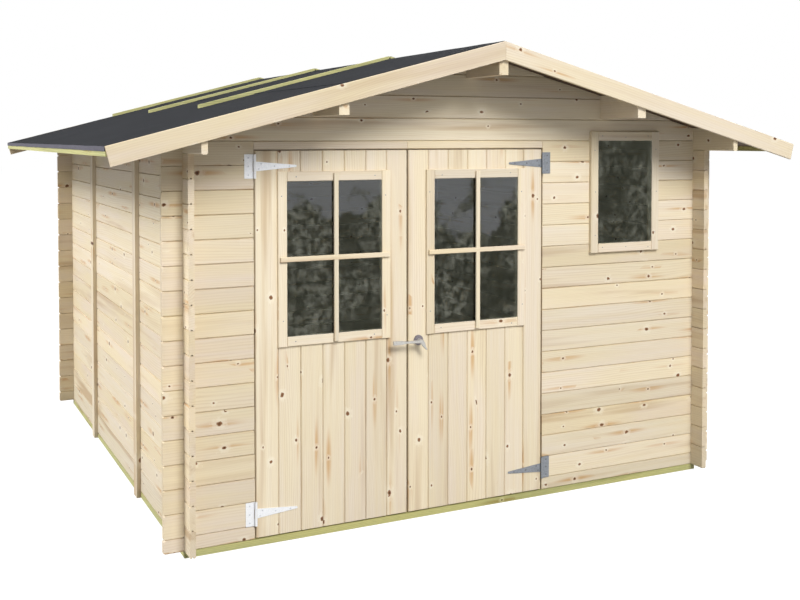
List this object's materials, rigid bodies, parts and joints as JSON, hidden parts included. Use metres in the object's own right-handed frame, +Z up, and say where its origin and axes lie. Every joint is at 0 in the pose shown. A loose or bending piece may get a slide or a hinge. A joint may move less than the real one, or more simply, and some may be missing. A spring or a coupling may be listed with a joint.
{
  "type": "log board garden shed",
  "caption": "Garden shed of interlocking log boards with a felted gable roof, glazed double doors on T-hinges, a side window and a lever handle.",
  "frame": {"origin": "On the ground, under the middle of the square of the log walls, in the plane that the bearers rest on.", "axes": "Z up, the door front faces -Y, X runs along the front from left to right as seen from outside."},
  "size_m": [3.764, 3.746, 2.3809],
  "materials": {
    "spruce": "bare planed spruce with knots",
    "treated_timber": "pale green pressure treated softwood",
    "roof_felt": "mineral surfaced bitumen felt",
    "glass": "clear float glass",
    "hinge_steel": "galvanised steel",
    "handle_metal": "satin anodised"
  },
  "bodies": {
    "shed": {"front_wall_left": "spruce", "front_wall_right": "spruce", "front_gable": "spruce", "door_header": "spruce", "back_wall": "spruce", "back_gable": "spruce", "left_wall": "spruce", "right_wall": "spruce", "wall_plates": "spruce", "ridge_purlin": "spruce", "side_purlins": "spruce", "roof_deck_left": "spruce", "roof_deck_right": "spruce", "front_bargeboard_left": "spruce", "front_bargeboard_right": "spruce", "back_bargeboard_left": "spruce", "back_bargeboard_right": "spruce", "window_frame": "spruce", "door_posts": "spruce", "door_head": "spruce", "floor": "spruce", "wall_battens": "spruce", "side_bearers": "treated_timber", "cross_bearers": "treated_timber", "eave_strips": "treated_timber", "felt_battens": "treated_timber", "roof_felt_left": "roof_felt", "roof_felt_right": "roof_felt", "window_glass": "glass", "left_hinge_plates": "hinge_steel", "right_hinge_plates": "hinge_steel"},
    "left_door": {"left_door_panel": "spruce", "left_door_window_frame": "spruce", "left_door_glass": "glass", "left_door_ledges": "spruce", "left_hinge_straps": "hinge_steel"},
    "right_door": {"right_door_panel": "spruce", "right_door_window_frame": "spruce", "right_door_glass": "glass", "right_door_ledges": "spruce", "right_hinge_straps": "hinge_steel", "handle_rosette": "handle_metal"},
    "lever": {"door_handle": "handle_metal"}
  },
  "joints": [
    {"name": "right_door_hinge", "type": "hinge", "parent": "shed", "child": "right_door", "pos_m": [0.434, -1.568, 0.9385], "axis": [0, 0, 1], "range_deg": [0, 160]},
    {"name": "left_door_hinge", "type": "hinge", "parent": "shed", "child": "left_door", "pos_m": [-1.148, -1.568, 0.9385], "axis": [0, 0, -1], "range_deg": [0, 130]},
    {"name": "lever_turn", "type": "hinge", "parent": "right_door", "child": "lever", "pos_m": [-0.2995, -1.59, 0.894], "axis": [0, -1, 0], "range_deg": [0, 40], "stiffness_Nm_per_rad": 1, "springref_deg": -28.65}
  ],
  "couplings": [
    {"joint": "left_door_hinge", "follows": "right_door_hinge", "ratio": 0.8125}
  ]
}
